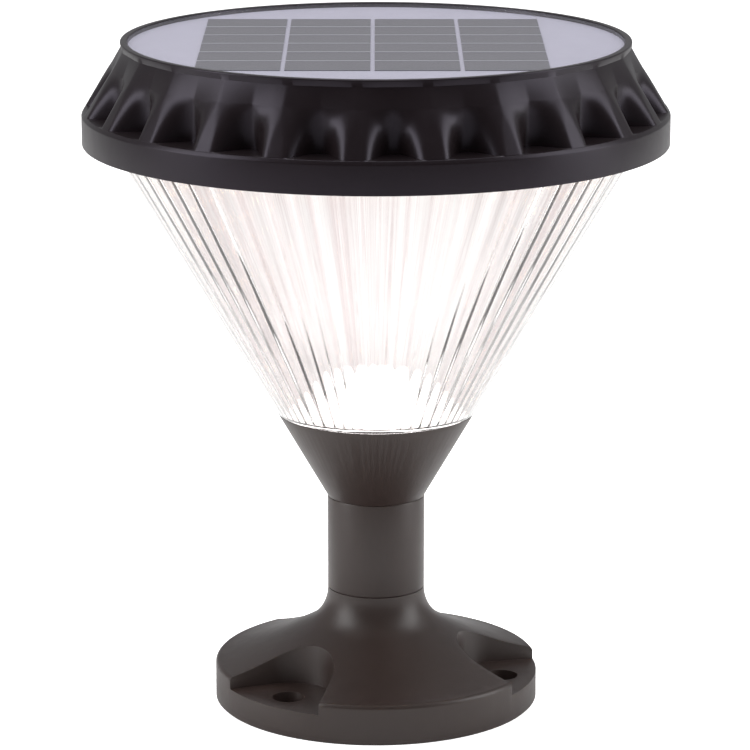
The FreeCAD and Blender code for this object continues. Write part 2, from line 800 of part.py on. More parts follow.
def make_cap():
    wall_bore = valley_radius - size("valley_wall")
    step_height = shoulder_z + size("shell_wall_step")
    corners = [
        (recess_radius, rim_top),
        (recess_radius, deck_top),
        (ZERO, deck_top),
        (ZERO, deck_low),
        (shell_bore_high, deck_low),
        (wall_bore, valley_high),
        (wall_bore, step_height),
        (shell_bore_low, step_height),
        (shell_bore_low, shoulder_z),
        (band_bore, shoulder_z),
        (band_bore, band_low),
        (cap_radius, band_low),
        (cap_radius, band_top - size("band_bevel_height")),
        (crest_limit, band_top),
        (rim_radius, arch_top),
        (rim_radius, rim_top),
    ]
    body = turned("cap_shell", corners)
    round_edges(body, size("band_edge_round"), circle_at(cap_radius, band_low))
    round_edges(body, size("rim_round"), circle_at(rim_radius, rim_top))

    valley_top = cap_radius - size("valley_inset_top")
    reach_low = size("valley_mouth_reach_low")
    reach_high = size("valley_mouth_reach_high")
    low = valley_section(body, band_top, valley_radius, valley_radius + reach_low)
    high = valley_section(body, valley_high, valley_radius, valley_radius + reach_high)
    top = valley_section(body, arch_top, valley_top, valley_top + reach_high)
    valley = new_feature(body, "SubtractiveLoft", "Valley")
    valley.Profile = low
    valley.Sections = [(high, [""]), (top, [""])]
    valley.Ruled = True
    repeat(body, [valley], size("flute_count"))

    post_x, post_y = around(post_circle, post_azimuths()[0])
    posts = new_sketch(body, "XY_Plane", tray_top)
    draw_circle(posts, post_x, post_y, size("post_radius"))
    post = pad(body, posts, deck_low - tray_top + size("deck_thickness") / 2)
    pilots = new_sketch(body, "XY_Plane", tray_top)
    draw_circle(pilots, post_x, post_y, size("tray_screw_radius"))
    pilot = pocket(body, pilots, size("tray_screw_length"), upward=True)
    repeat(body, [post, pilot], size("post_count"))

    threads = new_sketch(body, "XY_Plane", shoulder_z)
    x, y = around(ring_screw_circle, screw_azimuth)
    draw_circle(threads, x, y, size("ring_screw_radius"))
    thread = pocket(body, threads, ring_screw_length, upward=True)
    repeat(body, [thread], size("ring_screw_count"))

    lead_hole = new_sketch(body, "XY_Plane", deck_top)
    draw_circle(lead_hole, size("panel_lead_x"), size("panel_lead_y"), size("lead_hole_radius"))
    pocket(body, lead_hole, size("deck_thickness") + margin)

    height = button_height
    seat = button_seat
    face = seat + size("button_boss_reach")
    bore = size("button_radius") + size("button_clearance")
    root_y = seat - size("button_boss_root")
    boss_radius = size("button_boss_radius")
    rod(body, "Additive", (0, root_y, height), boss_radius, face - root_y, (0, 1, 0))
    rod(body, "Subtractive", (0, face, height), boss_radius, cap_radius - face, (0, 1, 0))
    inside = size("button_flange_radius") + size("side_clearance")
    well = size("button_well_depth")
    rod(body, "Subtractive", (0, seat - well, height), inside, well, (0, 1, 0))
    rod(body, "Subtractive", (0, seat - margin, height), bore, face - seat + margin * 2, (0, 1, 0))
    seal = size("seal_section_radius")
    middle = (seat + face) / 2
    rod(body, "Subtractive", (0, middle - seal, height), bore + seal * 2, seal * 2, (0, 1, 0))
    turn_with_cap(body)

    ring = new_body("button_seal")
    torus = new_feature(ring, "AdditiveTorus", "Seal")
    torus.Placement = Placement(Vector(0, middle.number, height.number), Rotation(Vector(1, 0, 0), 90))
    torus.setExpression("Placement.Base.y", middle.formula)
    torus.setExpression("Placement.Base.z", height.formula)
    torus.setExpression("Radius1", (bore + seal).formula)
    torus.setExpression("Radius2", seal.formula)
    turn_with_cap(ring)


def make_underside():
    body = washer("underside_ring", ring_inner, fit_low_radius, ring_low, lens_top)
    x, y = around(ring_screw_circle, screw_azimuth)
    sinks = new_sketch(body, "XY_Plane", ring_low)
    draw_circle(sinks, x, y, size("ring_screw_head_radius"))
    sink = pocket(body, sinks, size("ring_screw_head_height"), upward=True)
    holes = new_sketch(body, "XY_Plane", ring_low)
    draw_circle(holes, x, y, size("ring_screw_radius") + size("side_clearance"))
    hole = pocket(body, holes, size("underside_ring_thickness") + margin, upward=True)
    repeat(body, [sink, hole], size("ring_screw_count"))
    turn_with_cap(body)

    gasket_inner = shell_bore_low + size("gasket_clearance")
    body = washer("lens_gasket", gasket_inner, fit_low_radius, flange_top, shoulder_z)
    holes = new_sketch(body, "XY_Plane", shoulder_z)
    draw_circle(holes, x, y, size("ring_screw_radius") + size("side_clearance"))
    hole = pocket(body, holes, size("gasket_thickness") + margin)
    repeat(body, [hole], size("ring_screw_count"))
    turn_with_cap(body)

    body = new_body("ring_screws")
    heads = new_sketch(body, "XY_Plane", ring_low)
    draw_circle(heads, x, y, size("ring_screw_head_radius"))
    head = pad(body, heads, size("ring_screw_head_height"))
    shanks = new_sketch(body, "XY_Plane", ring_low)
    draw_circle(shanks, x, y, size("ring_screw_radius"))
    shank = pad(body, shanks, shoulder_z - ring_low + ring_screw_length - margin)
    repeat(body, [head, shank], size("ring_screw_count"))
    turn_with_cap(body)


def make_button():
    height = button_height
    seat = button_seat
    flange = size("button_flange_thickness")
    body = new_body("power_button")
    rod(body, "Additive", (0, seat - flange, height), size("button_flange_radius"), flange, (0, 1, 0))
    length = size("button_reach") + flange
    rod(body, "Additive", (0, seat - flange, height), size("button_radius"), length, (0, 1, 0))
    face = seat + size("button_reach")
    round_edges(body, size("button_face_round"), lambda edge: is_rim(edge, face))
    turn_with_cap(body)

    body = new_body("switch_plunger")
    tip = seat - flange
    plunger = size("plunger_length")
    rod(body, "Additive", (0, tip - plunger, height), size("plunger_radius"), plunger, (0, 1, 0))
    turn_with_cap(body)

    half = size("switch_width") / 2
    front = tip - plunger / 2 + size("button_travel")
    back = front - size("switch_depth")
    body = block("switch_body", -half, half, back, front, height - half, size("switch_width"))
    reach = plunger / 2 + size("button_travel") * 2 + size("plunger_end_gap")
    bore = size("plunger_radius") + size("button_clearance")
    rod(body, "Subtractive", (0, front - reach, height), bore, reach + margin, (0, 1, 0))
    turn_with_cap(body)

    half_board = size("switch_board_width") / 2
    board_height = height + half + margin - tray_top
    board_back = back - size("board_thickness")
    body = block("switch_board", -half_board, half_board, board_back, back, tray_top, board_height)
    turn_with_cap(body)
    return back


def is_rim(edge, place_y):
    """True for the circular edge of a rod along Y at one place."""
    curve = edge.Curve
    return isinstance(curve, Part.Circle) and abs(curve.Center.y - place_y.number) < 0.01


# ---------------------------------------------------------------- tray and electrics


def standoff_places():
    half_x = size("main_board_length") / 2 - size("standoff_inset")
    half_y = size("main_board_width") / 2 - size("standoff_inset")
    middle = size("main_board_place_y")
    return [(sx * half_x, middle + sy * half_y) for sx in (-1, 1) for sy in (-1, 1)]


def led_screw_places():
    azimuths = evenly(0, size("led_screw_count"))
    return [around(led_board_inner + size("led_screw_inset"), azimuth) for azimuth in azimuths]


def led_lead_place():
    return around(led_board_inner + size("led_lead_inset"), size("led_lead_azimuth"))


def make_tray():
    body = new_body("tray")
    disc = new_sketch(body, "XY_Plane", tray_low)
    draw_circle(disc, ZERO, ZERO, shell_bore_low - size("tray_gap"))
    pad(body, disc, size("tray_thickness"))
    stands = new_sketch(body, "XY_Plane", tray_low)
    for x, y in standoff_places():
        draw_circle(stands, x, y, size("standoff_radius"))
    pad(body, stands, size("tray_thickness") + size("standoff_height"))
    holes = new_sketch(body, "XY_Plane", tray_top)
    for azimuth in post_azimuths():
        x, y = around(post_circle, azimuth)
        draw_circle(holes, x, y, size("tray_screw_radius") + size("side_clearance"))
    x, y = led_lead_place()
    draw_circle(holes, x, y, size("lead_hole_radius"))
    pocket(body, holes, size("tray_thickness") + margin)
    small = new_sketch(body, "XY_Plane", tray_top + size("standoff_height"))
    for x, y in standoff_places():
        draw_circle(small, x, y, size("small_screw_radius"))
    pocket(body, small, size("standoff_height"))
    thread = new_sketch(body, "XY_Plane", tray_low)
    for x, y in led_screw_places():
        draw_circle(thread, x, y, size("small_screw_radius"))
    pocket(body, thread, size("tray_thickness") - size("thread_end_wall"), upward=True)
    turn_with_cap(body)

    places = [around(post_circle, azimuth) for azimuth in post_azimuths()]
    head = (size("tray_screw_head_radius"), size("tray_screw_head_height"))
    shank = (size("tray_screw_radius"), size("tray_thickness") + size("tray_screw_length") - margin)
    screws("tray_screws", places, tray_low - size("tray_screw_head_height"), head, shank)


def make_led_board():
    body = washer("led_board", led_board_inner, led_board_outer, led_board_low, tray_low)
    holes = new_sketch(body, "XY_Plane", tray_low)
    for x, y in led_screw_places():
        draw_circle(holes, x, y, size("small_screw_radius") + size("gasket_clearance"))
    pocket(body, holes, size("board_thickness") + margin)
    turn_with_cap(body)

    head = (size("small_screw_head_radius"), size("small_screw_head_height"))
    reach = size("board_thickness") + size("tray_thickness") - size("thread_end_wall") * 2
    shank = (size("small_screw_radius"), reach)
    screws("led_board_screws", led_screw_places(), led_board_low - head[1], head, shank)

    body = new_body("led_chips")
    sketch = new_sketch(body, "XY_Plane", led_board_low - size("led_height"))
    middle = led_board_outer - size("led_inset")
    half_x = size("led_width") / 2
    half_y = size("led_length") / 2
    draw_rectangle(sketch, middle - half_x, middle + half_x, -half_y, half_y)
    chip = pad(body, sketch, size("led_height"))
    repeat(body, [chip], size("led_count"))
    turn_with_cap(body)


def make_battery():
    middle = size("battery_place_y")
    half = size("battery_length") / 2
    wall = size("holder_wall")
    contact = size("contact_thickness")
    end = battery_button_end + contact
    side = battery_radius + size("side_clearance")
    low_y = middle - side
    high_y = middle + side
    outer = [-end - wall, end + wall, low_y - wall, high_y + wall]
    body = block("battery_holder", *outer, tray_top, size("holder_height"))
    well = new_sketch(body, "XY_Plane", tray_top + wall)
    draw_rectangle(well, -end, end, low_y, high_y)
    pocket(body, well, size("holder_height"), upward=True)
    turn_with_cap(body)

    body = new_body("battery_cell")
    rod(body, "Additive", (-half, middle, battery_axis_z), battery_radius, size("battery_length"), (1, 0, 0))
    start = half - margin
    length = battery_button_end - start
    rod(body, "Additive", (start, middle, battery_axis_z), size("battery_cap_radius"), length, (1, 0, 0))
    turn_with_cap(body)

    body = new_body("battery_contacts")
    plates = new_sketch(body, "XY_Plane", tray_top + wall)
    reach = size("contact_width") / 2
    for low, high in ((-end, -half), (battery_button_end, end)):
        draw_rectangle(plates, low, high, middle - reach, middle + reach)
    pad(body, plates, size("contact_height"))
    turn_with_cap(body)


def make_main_board():
    half_x = size("main_board_length") / 2
    half_y = size("main_board_width") / 2
    middle = size("main_board_place_y")
    low = tray_top + size("standoff_height")
    plan = [-half_x, half_x, middle - half_y, middle + half_y]
    body = block("control_board", *plan, low, size("board_thickness"))
    holes = new_sketch(body, "XY_Plane", board_top)
    for x, y in standoff_places():
        draw_circle(holes, x, y, size("small_screw_radius") + size("gasket_clearance"))
    pocket(body, holes, size("board_thickness") + margin)
    turn_with_cap(body)

    body = new_body("board_screws")
    heads = new_sketch(body, "XY_Plane", board_top)
    shanks = new_sketch(body, "XY_Plane", tray_top + margin)
    for x, y in standoff_places():
        draw_circle(heads, x, y, size("small_screw_head_radius"))
        draw_circle(shanks, x, y, size("small_screw_radius"))
    pad(body, heads, size("small_screw_head_height"))
    pad(body, shanks, board_top - tray_top - margin + size("small_screw_head_height"))
    turn_with_cap(body)

    body = new_body("control_chips")
    sketch = new_sketch(body, "XY_Plane", board_top)
    half_length = size("chip_length") / 2
    half_width = size("chip_width") / 2
    for side in (-1, 1):
        x = size("chip_place_x") + size("chip_pitch") / 2 * side
        draw_rectangle(sketch, x - half_length, x + half_length, middle - half_width, middle + half_width)
    pad(body, sketch, size("chip_height"))
    turn_with_cap(body)

    body = new_body("boost_inductor")
    sketch = new_sketch(body, "XY_Plane", board_top)
    inductor_y = middle + half_y - size("inductor_setback")
    draw_circle(sketch, size("inductor_place_x"), inductor_y, size("inductor_radius"))
    pad(body, sketch, size("inductor_height"))
    turn_with_cap(body)

    body = new_body("board_capacitors")
    sketch = new_sketch(body, "XY_Plane", board_top)
    capacitor_y = middle + half_y - size("capacitor_setback")
    for side in (-1, 1):
        x = size("capacitor_place_x") + size("capacitor_pitch") / 2 * side
        draw_circle(sketch, x, capacitor_y, size("capacitor_radius"))
    pad(body, sketch, size("capacitor_height"))
    turn_with_cap(body)

    body = new_body("lead_sockets")
    sketch = new_sketch(body, "XY_Plane", board_top)
    edge = middle - half_y
    half = size("socket_length") / 2
    for x in (size("panel_socket_x"), size("battery_socket_x")):
        draw_rectangle(sketch, x - half, x + half, edge, edge + size("socket_width"))
    draw_rectangle(sketch, half_x - size("socket_width"), half_x, middle - half, middle + half)
    draw_rectangle(sketch, -half, half, middle + half_y - size("socket_width"), middle + half_y)
    pad(body, sketch, size("socket_height"))
    turn_with_cap(body)


def lead(label, points):
    """A round lead along straight runs joined by tangent arcs."""
    runs = [points[n + 1] - points[n] for n in range(len(points) - 1)]
    edges = []
    start = points[0]
    for index in range(1, len(points) - 1):
        corner = points[index]
        before = runs[index - 1]
        after = runs[index]
        half_turn = before.getAngle(after) / 2
        tangent = 0.45 * min(before.Length, after.Length)
        toward = Vector(before).normalize()
        away = Vector(after).normalize()
        arc_start = corner - toward * tangent
        arc_end = corner + away * tangent
        inward = (away - toward).normalize()
        radius = tangent / math.tan(half_turn)
        centre = corner + inward * (radius / math.cos(half_turn))
        middle = centre - inward * radius
        edges.append(Part.LineSegment(start, arc_start).toShape())
        edges.append(Part.Arc(arc_start, middle, arc_end).toShape())
        start = arc_end
    edges.append(Part.LineSegment(start, points[-1]).toShape())
    path = Part.Wire(edges)
    radius = size("lead_radius").number
    section = Part.Wire(Part.makeCircle(radius, points[0], runs[0]))
    solid = path.makePipeShell([section], True, False)
    expected = math.pi * radius * radius * path.Length
    if abs(solid.Volume - expected) > 0.02 * expected:
        raise ValueError(f"{label} is not a clean tube")
    piece = document.addObject("Part::Feature", label)
    piece.Label = label
    piece.Shape = solid
    piece.Placement = Placement(Vector(), Rotation(Vector(0, 0, 1), size("flute_turn").number))


def make_leads(switch_back):
    """The pairs of leads between the boards, the battery and the panel; red lies beside black."""
    run = size("lead_run").number
    socket_z = (board_top + size("socket_height") / 2).number
    board_front = (size("main_board_place_y") - size("main_board_width") / 2).number
    board_back = (size("main_board_place_y") + size("main_board_width") / 2).number
    board_side = (size("main_board_length") / 2).number
    board_middle = size("main_board_place_y").number
    battery_end = (battery_button_end + size("contact_thickness")).number
    contact_z = (contact_top - size("lead_radius") * 3).number
    for colour, side in (("red", -1), ("black", 1)):
        shift = side * size("lead_pitch").number / 2

        x = size("panel_lead_x").number + shift
        y = size("panel_lead_y").number
        socket_x = size("panel_socket_x").number + shift
        lead("panel_lead_" + colour, [
            Vector(x, y, (deck_top + size("panel_bed")).number),
            Vector(x, y, deck_low.number - run),
            Vector(socket_x, board_front - run * 2, socket_z),
            Vector(socket_x, board_front, socket_z),
        ])

        y = size("battery_place_y").number
        turn_y = size("battery_lead_y").number
        socket_x = size("battery_socket_x").number + shift
        lead("battery_lead_" + colour, [
            Vector(side * battery_end, y, contact_z),
            Vector(side * (battery_end + run), y, contact_z),
            Vector(side * (battery_end + run), turn_y, contact_z - run / 2),
            Vector(socket_x, turn_y, contact_z - run / 2),
            Vector(socket_x, board_front - run * 2, socket_z),
            Vector(socket_x, board_front, socket_z),
        ])

        hole_x, hole_y = led_lead_place()
        lead("led_lead_" + colour, [
            Vector(board_side, board_middle + shift, socket_z),
            Vector(board_side + run * 2, board_middle + shift, socket_z),
            Vector(hole_x.number, hole_y.number + shift, socket_z),
            Vector(hole_x.number, hole_y.number + shift, tray_low.number),
        ])

        switch_y = (switch_back - size("board_thickness")).number
        switch_z = button_height.number
        lead("switch_lead_" + colour, [
            Vector(shift, board_back, socket_z),
            Vector(shift, board_back + run * 2, socket_z),
            Vector(shift, switch_y - run * 2, switch_z),
            Vector(shift, switch_y, switch_z),
        ])


# ---------------------------------------------------------------- solar panel


def cell_spans():
    """The low and high x of each strip of cells."""
    width = size("cell_width")
    pitch = width + size("cell_gap")
    columns = size("cell_columns")
    first = size("cell_shift_x") - (pitch * columns - size("cell_gap")) / 2
    return [(first + pitch * n, first + pitch * n + width) for n in range(int(columns.number))]


def cell_ends():
    """The low and high y of the cells, whose front corners stay inside the round board."""
    corner_x = cell_spans()[0][0]
    reach = panel_radius - size("cell_edge_gap")
    low_y = -root(reach * reach - corner_x * corner_x)
    return low_y, size("cell_shift_y") * 2 - low_y


def ribbon_places():
    """The y of each cross ribbon."""
    low_y, high_y = cell_ends()
    pitch = (high_y - low_y) / (size("ribbon_count") + 1)
    return [low_y + pitch * (n + 1) for n in range(int(size("ribbon_count").number))]


def draw_cells(sketch):
    low_y, high_y = cell_ends()
    for low_x, high_x in cell_spans():
        draw_rectangle(sketch, low_x, high_x, low_y, high_y)


def draw_ribbons(sketch):
    half = size("ribbon_width") / 2
    for low_x, high_x in cell_spans():
        for middle in ribbon_places():
            draw_rectangle(sketch, low_x, high_x, middle - half, middle + half)


def make_panel():
    board_low = deck_top + size("panel_bed")
    board_high = board_low + size("panel_board")
    cells_high = board_high + size("cell_thickness")
    bed_outer = panel_radius - size("panel_bed_inset")
    washer("panel_bond", bed_outer - size("panel_bed_width"), bed_outer, deck_top, board_low)

    body = new_body("panel_board")
    sketch = new_sketch(body, "XY_Plane", board_low)
    draw_circle(sketch, ZERO, ZERO, panel_radius)
    pad(body, sketch, size("panel_board"))

    body = new_body("solar_cells")
    sketch = new_sketch(body, "XY_Plane", board_high)
    draw_cells(sketch)
    pad(body, sketch, size("cell_thickness"))

    body = new_body("cell_ribbons")
    sketch = new_sketch(body, "XY_Plane", cells_high)
    draw_ribbons(sketch)
    pad(body, sketch, size("ribbon_thickness"))

    body = new_body("panel_cover")
    sketch = new_sketch(body, "XY_Plane", board_high)
    draw_circle(sketch, ZERO, ZERO, panel_radius)
    pad(body, sketch, size("panel_cover"))
    seats = new_sketch(body, "XY_Plane", board_high)
    draw_cells(seats)
    pocket(body, seats, size("cell_thickness"), upward=True)
    slots = new_sketch(body, "XY_Plane", cells_high)
    draw_ribbons(slots)
    pocket(body, slots, size("ribbon_thickness"), upward=True)


# ---------------------------------------------------------------- build, check and write


def is_piece(item):
    return item.TypeId in ("PartDesign::Body", "Part::Torus", "Part::Feature")


def check_and_write():
    document.recompute()
    for item in document.Objects:
        if "Invalid" in item.State or "Error" in item.State:
            raise ValueError(f"{item.Label} failed")
    os.makedirs("parts", exist_ok=True)
    for item in document.Objects:
        if not is_piece(item):
            continue
        if item.Shape.isNull() or not item.Shape.isValid():
            raise ValueError(f"{item.Label} has no valid shape")
        item.Shape.exportStep(f"parts/{item.Label}.step")
        box = item.Shape.BoundBox
        print(f"{item.Label:22} solids {len(item.Shape.Solids):3} volume {item.Shape.Volume:10.1f}"
              f" z {box.ZMin:7.2f} to {box.ZMax:7.2f}")


make_foot()
make_neck()
make_collar()
make_lens()
make_dome()
make_cap()
make_underside()
switch_back_place = make_button()
make_tray()
make_led_board()
make_battery()
make_main_board()
make_leads(switch_back_place)
make_panel()
check_and_write()
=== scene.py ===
"""Solar pillar light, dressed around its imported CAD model: a fluted dark cap with a solar panel, a clear
ribbed lens, a bronze-brown collar, neck and foot. Lengths are in metres, +Z is up, and the light faces -Y."""

import json
import math

import bmesh
import bpy
from bpy.props import FloatProperty, FloatVectorProperty, IntProperty, PointerProperty
from mathutils import Matrix, Vector


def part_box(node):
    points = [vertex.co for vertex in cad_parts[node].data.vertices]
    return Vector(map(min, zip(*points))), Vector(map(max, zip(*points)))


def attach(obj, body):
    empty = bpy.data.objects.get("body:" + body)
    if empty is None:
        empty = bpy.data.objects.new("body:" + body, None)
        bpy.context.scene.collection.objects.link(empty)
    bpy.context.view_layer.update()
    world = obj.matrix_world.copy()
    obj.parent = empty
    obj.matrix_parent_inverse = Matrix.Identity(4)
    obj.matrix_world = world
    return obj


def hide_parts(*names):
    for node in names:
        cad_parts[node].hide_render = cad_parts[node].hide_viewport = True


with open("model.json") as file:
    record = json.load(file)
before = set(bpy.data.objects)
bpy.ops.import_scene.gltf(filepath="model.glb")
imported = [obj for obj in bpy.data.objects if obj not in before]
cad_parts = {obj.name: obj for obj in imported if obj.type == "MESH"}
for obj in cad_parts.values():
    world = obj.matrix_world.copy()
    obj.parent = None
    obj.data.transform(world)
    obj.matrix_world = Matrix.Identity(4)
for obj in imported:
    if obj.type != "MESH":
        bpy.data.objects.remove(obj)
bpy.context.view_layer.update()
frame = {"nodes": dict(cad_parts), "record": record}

bl_info = {
    "name": "Solar Pillar Light",
    "version": (1, 0, 0),
    "blender": (4, 5, 0),
    "location": "View3D > Sidebar > Pillar Light",
    "description": "Builds the looks of a solar pillar light around its CAD frame",
    "category": "Object",
}

MM = 0.001
CAP_LOW, CAP_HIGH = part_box("cap_shell")
LENS_LOW, LENS_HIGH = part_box("lens")
COLLAR_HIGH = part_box("collar")[1]
DOME_LOW, DOME_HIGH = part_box("reflector_dome")


# ---------------------------------------------------------------- sizes and colours


class LightSizes(bpy.types.PropertyGroup):
    """Sizes of the visible forms; heights and outer radii come from the frame."""

    flute_count: IntProperty(name="Flutes", description="Raised flutes round the cap", default=24, min=3)
    flute_turn: FloatProperty(
        name="Flute turn", description="Azimuth of one flute's crest from the back of the light",
        default=math.radians(-4), subtype="ANGLE")
    band_height: FloatProperty(
        name="Band height", description="Plain band below the flutes", default=10.6 * MM, unit="LENGTH")
    band_wall: FloatProperty(
        name="Band wall", description="Wall of the plain band", default=2.7 * MM, unit="LENGTH")
    bevel_height: FloatProperty(
        name="Band bevel", description="Height of the bevel on the band's top edge", default=1.2 * MM,
        unit="LENGTH")
    valley_height: FloatProperty(
        name="Valley height", description="Height of the upright valley walls", default=13.95 * MM,
        unit="LENGTH")
    ridge_round: FloatProperty(
        name="Ridge rounding", description="Depth over which a ridge is rounded", default=3.0 * MM,
        unit="LENGTH")
    rib_count: IntProperty(
        name="Lens ribs", description="Ribs round the inside of the lens", default=60, min=3)
    rib_depth: FloatProperty(
        name="Rib depth", description="Depth of the lens ribs", default=0.65 * MM, unit="LENGTH")
    edge_round: FloatProperty(
        name="Edge rounding", description="Rounding of the painted pieces' edges", default=0.45 * MM,
        unit="LENGTH")


class LightColours(bpy.types.PropertyGroup):
    """Colours of the finishes, as linear values."""

    crown: FloatVectorProperty(
        name="Cap", description="Moulded cap", default=(0.0075, 0.0050, 0.0056), subtype="COLOR", min=0,
        max=1)
    bronze: FloatVectorProperty(
        name="Bronze paint", description="Collar, neck and foot", default=(0.028, 0.0175, 0.0150),
        subtype="COLOR", min=0, max=1)
    backing: FloatVectorProperty(
        name="Panel backing", description="Pale board of the panel", default=(0.30, 0.29, 0.36),
        subtype="COLOR", min=0, max=1)
    cell: FloatVectorProperty(
        name="Cells", description="Solar cells", default=(0.032, 0.029, 0.038), subtype="COLOR", min=0, max=1)
    glow: FloatVectorProperty(
        name="Lamp light", description="Light of the lamps", default=(1.0, 0.72, 0.42), subtype="COLOR",
        min=0, max=1)


# ---------------------------------------------------------------- mesh helpers


def add_piece(name, mesh, body, material, replaced=()):
    """Links a finished mesh, gives it its finish and fixes it to its body."""
    piece = bpy.data.objects.new(name, mesh)
    bpy.context.scene.collection.objects.link(piece)
    mesh.materials.clear()
    mesh.materials.append(material)
    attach(piece, body)
    if replaced:
        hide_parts(*replaced)


def shade(mesh, sharp_angle=35):
    """Smooth shading that keeps edges sharper than the angle."""
    mesh.shade_smooth()
    mesh.set_sharp_from_angle(angle=math.radians(sharp_angle))


def polar(radius, azimuth, height):
    """The point at a radius, azimuth and height."""
    return (radius * math.cos(azimuth), radius * math.sin(azimuth), height)


def ring(radius, height, columns):
    """One round row of points; radius is a number or a function of azimuth."""
    row = []
    for column in range(columns):
        azimuth = math.tau * column / columns
        reach = radius(azimuth) if callable(radius) else radius
        row.append(polar(reach, azimuth, height))
    return row


def skin(name, rows, closed=False):
    """A mesh between consecutive rows of points; a row of one point is a pole."""
    mesh = bpy.data.meshes.new(name)
    points = [point for row in rows for point in row]
    starts = []
    count = 0
    for row in rows:
        starts.append(count)
        count += len(row)
    faces = []
    pairs = list(zip(range(len(rows)), range(1, len(rows))))
    if closed:
        pairs.append((len(rows) - 1, 0))
    for lower, upper in pairs:
        columns = max(len(rows[lower]), len(rows[upper]))
        for column in range(columns):
            following = (column + 1) % columns
            corners = []
            for row, side in ((lower, column), (lower, following), (upper, following), (upper, column)):
                index = starts[row] + (side if len(rows[row]) > 1 else 0)
                if index not in corners:
                    corners.append(index)
            faces.append(corners)
    mesh.from_pydata(points, [], faces)
    work = bmesh.new()
    work.from_mesh(mesh)
    bmesh.ops.recalc_face_normals(work, faces=work.faces)
    work.to_mesh(mesh)
    work.free()
    shade(mesh)
    return mesh


def lathe(name, profile, columns, closed=True):
    """Turns a profile of (radius, height) points about the light's axis."""
    rows = []
    for radius, height in profile:
        rows.append(ring(radius, height, columns) if radius > 0 else [(0, 0, height)])
    return skin(name, rows, closed)


CORNER_STEPS = 4
LONGEST_ROUNDING = 0.45


def rounded(profile, radius):
    """Rounds the corners of a closed profile, each by a curve that uses less than half of either side."""
    count = len(profile)
    result = []
    for index, corner in enumerate(profile):
        corner = Vector(corner)
        before = Vector(profile[index - 1]) - corner
        after = Vector(profile[(index + 1) % count]) - corner
        reach = min(radius, before.length * LONGEST_ROUNDING, after.length * LONGEST_ROUNDING)
        start = corner + before.normalized() * reach
        end = corner + after.normalized() * reach
        for step in range(CORNER_STEPS + 1):
            t = step / CORNER_STEPS
            point = start * (1 - t) ** 2 + corner * 2 * t * (1 - t) + end * t ** 2
            result.append(tuple(point))
    return result


def rounded_between(profile, radius, skipped=0):
    """The rounded corners between the ends of an open profile, less some points at its start."""
    per_corner = CORNER_STEPS + 1
    return rounded(profile, radius)[per_corner + skipped:-per_corner]


SAME_POINT = 0.002 * MM
SAME_PLANE = math.radians(0.3)
SHARP_EDGE = math.radians(28)


def softened_copy(node, width):
    """A copy of a CAD node's mesh with its sharp edges rounded."""
    work = bmesh.new()
    work.from_mesh(frame["nodes"][node].data)
    bmesh.ops.remove_doubles(work, verts=work.verts, dist=SAME_POINT)
    bmesh.ops.dissolve_limit(
        work, angle_limit=SAME_PLANE, verts=work.verts, edges=work.edges, delimit={"NORMAL"})
    sharp = [e for e in work.edges if len(e.link_faces) == 2 and e.calc_face_angle(0) > SHARP_EDGE]
    bmesh.ops.bevel(
        work, geom=sharp, offset=width, offset_type="OFFSET", segments=3, profile=0.5, affect="EDGES",
        clamp_overlap=True)
    mesh = bpy.data.meshes.new(node + "_soft")
    work.to_mesh(mesh)
    work.free()
    shade(mesh, sharp_angle=30)
    return mesh


def rod_mesh(name, profile, place, direction, columns=48):
    """Turns a profile of (radius, distance) about a line through place."""
    mesh = lathe(name, profile, columns)
    turn = Vector((0, 0, 1)).rotation_difference(Vector(direction)).to_matrix().to_4x4()
    mesh.transform(Matrix.Translation(place) @ turn)
    return mesh


# ---------------------------------------------------------------- finishes


class Finish:
    """A procedural material round one Principled shader."""

    def __init__(self, name, colour, roughness, **sockets):
        self.material = bpy.data.materials.new(name)
        self.material.use_nodes = True
        self.nodes = self.material.node_tree.nodes
        self.links = self.material.node_tree.links
        self.shader = self.nodes["Principled BSDF"]
        self.set("Base Color", (*colour, 1.0))
        self.set("Roughness", roughness)
        for socket, value in sockets.items():
            self.set(socket.replace("_", " "), value)

    def set(self, socket, value):
        """Gives one of the shader's sockets a fixed value."""
        self.shader.inputs[socket].default_value = value

    def add(self, kind, **values):
        """Adds a node; each value goes to the socket of that name, or else to the node's own setting."""
        node = self.nodes.new(kind)
        for name, value in values.items():
            if name in node.inputs:
                node.inputs[name].default_value = value
            else:
                setattr(node, name, value)
        return node

    def link(self, source, target):
        """Joins an output socket to an input socket."""
        self.links.new(source, target)

    def noise(self, scale, detail=3.0):
        """Noise over the piece's own place in the light, in lumps of 1/scale metres."""
        place = self.add("ShaderNodeTexCoord")
        texture = self.add("ShaderNodeTexNoise", Scale=scale, Detail=detail)
        self.link(place.outputs["Object"], texture.inputs["Vector"])
        return texture.outputs["Fac"]

    def spread(self, source, low, high, socket):
        """Maps a 0 to 1 value on to a range and feeds a socket with it."""
        ramp = self.add("ShaderNodeMapRange")
        ramp.inputs["To Min"].default_value = low
        ramp.inputs["To Max"].default_value = high
        self.link(source, ramp.inputs["Value"])
        self.link(ramp.outputs["Result"], self.shader.inputs[socket])

    def mottle(self, source, first, second):
        """Base colour that wanders between two colours."""
        mix = self.add("ShaderNodeMix", data_type="RGBA")
        mix.inputs["A"].default_value = (*first, 1.0)
        mix.inputs["B"].default_value = (*second, 1.0)
        self.link(source, mix.inputs["Factor"])
        self.link(mix.outputs["Result"], self.shader.inputs["Base Color"])

    def bump(self, source, depth, strength):
        """Raises the surface a little where the source is high."""
        node = self.add("ShaderNodeBump", Strength=strength, Distance=depth)
        self.link(source, node.inputs["Height"])
        self.link(node.outputs["Normal"], self.shader.inputs["Normal"])


def scaled(colour, factor):
    """A colour made lighter or darker."""
    return tuple(min(1.0, channel * factor) for channel in colour)


